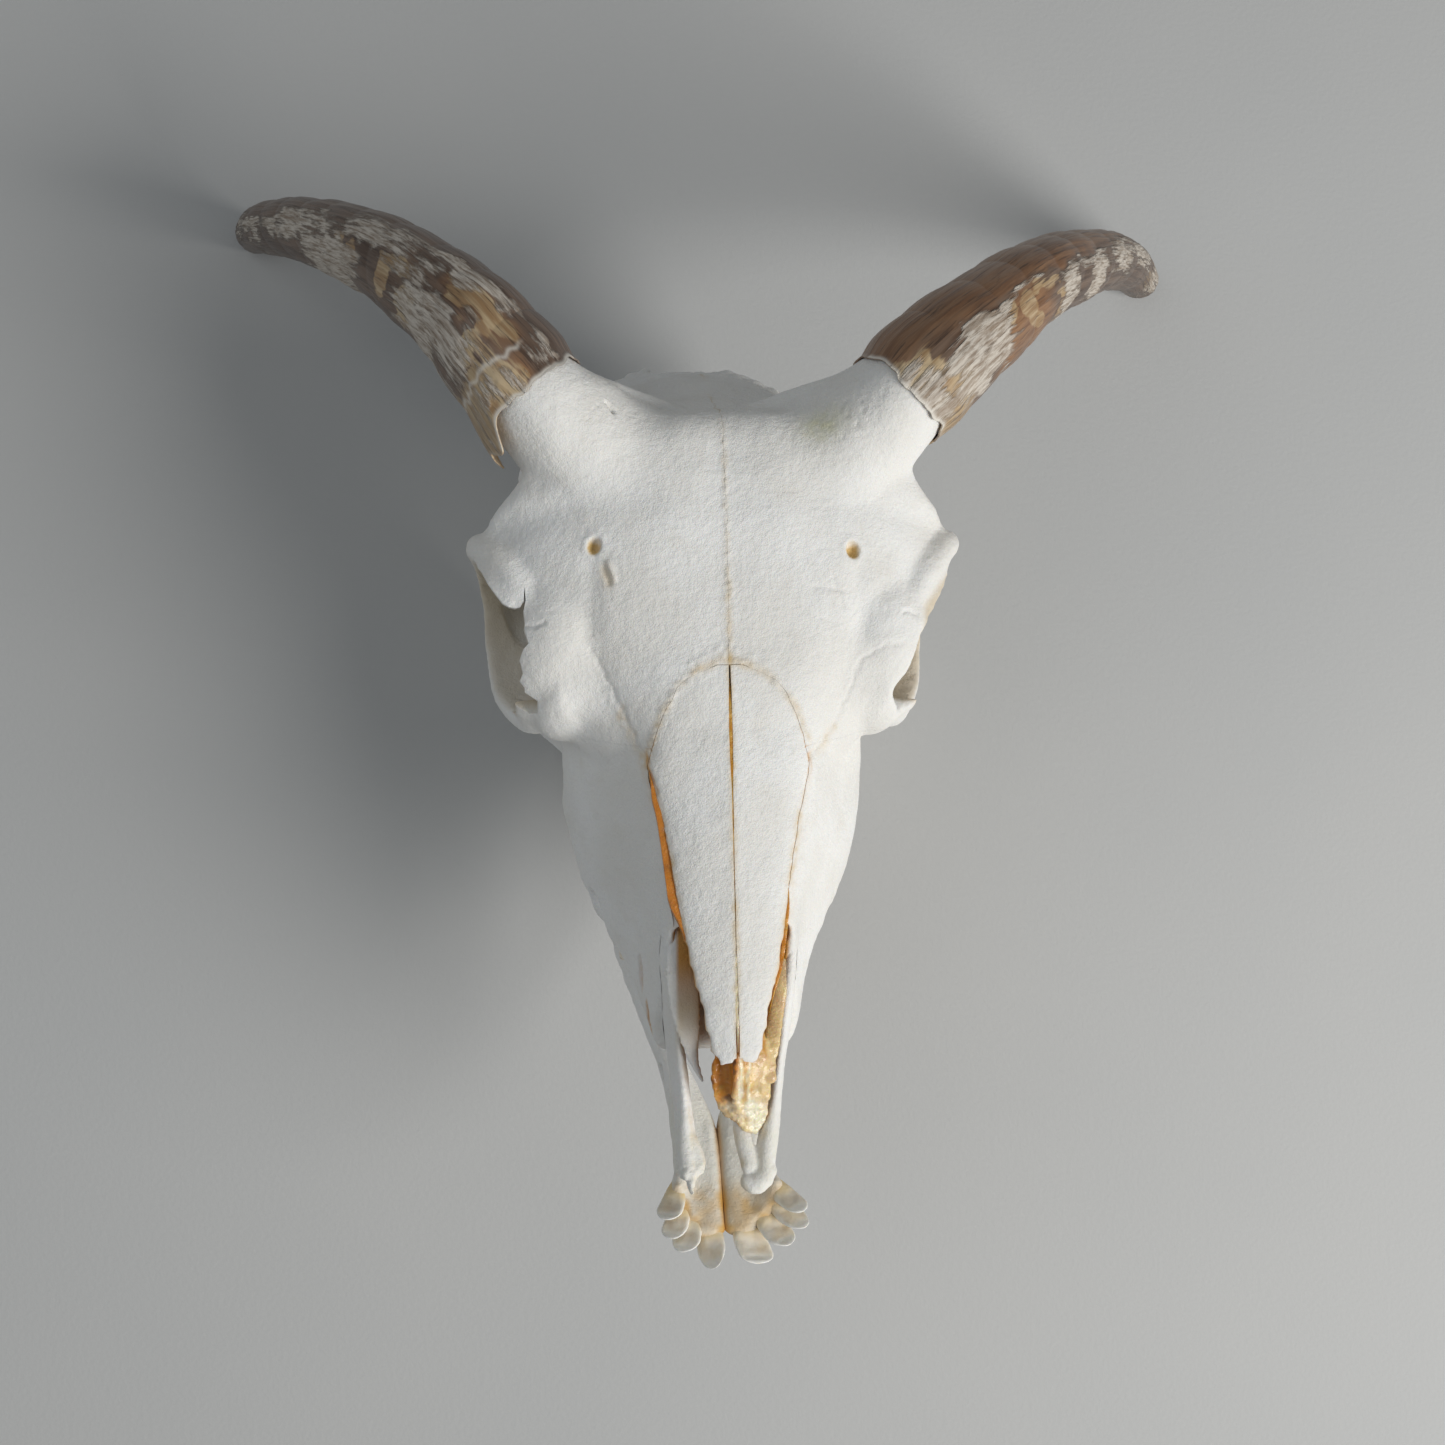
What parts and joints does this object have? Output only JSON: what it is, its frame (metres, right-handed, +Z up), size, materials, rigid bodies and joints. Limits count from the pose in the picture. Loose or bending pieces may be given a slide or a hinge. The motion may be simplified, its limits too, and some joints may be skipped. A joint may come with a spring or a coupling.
{
  "type": "goat skull",
  "caption": "Still, life-size skull of a horned goat with its lower jaw, lying level on its jaw angles and horn tips, nose forward.",
  "frame": {"origin": "middle of the box's underside, on the surface the skull lies on", "axes": "+Z up, -Y towards the muzzle, +X towards the animal's left"},
  "size_m": [0.2762, 0.287, 0.1396],
  "materials": {
    "bone": "chalk-white, matt and finely porous, with faint yellow stains; ivory teeth",
    "horn": "dark brown keratin, glossy behind, flaked grey and tan in front",
    "cartilage": "dried amber cartilage, slightly glossy"
  },
  "bodies": {
    "root": {"occipital": "bone", "braincase": "bone", "sphenoid": "bone", "frontal_left": "bone", "frontal_right": "bone", "zygomatic_left": "bone", "zygomatic_right": "bone", "maxilla_left": "bone", "maxilla_right": "bone", "nasal_left": "bone", "nasal_right": "bone", "premaxilla_left": "bone", "premaxilla_right": "bone", "mandible_left": "bone", "mandible_right": "bone", "horn_left": "horn", "horn_right": "horn", "nasal_septum": "cartilage"}
  },
  "joints": []
}
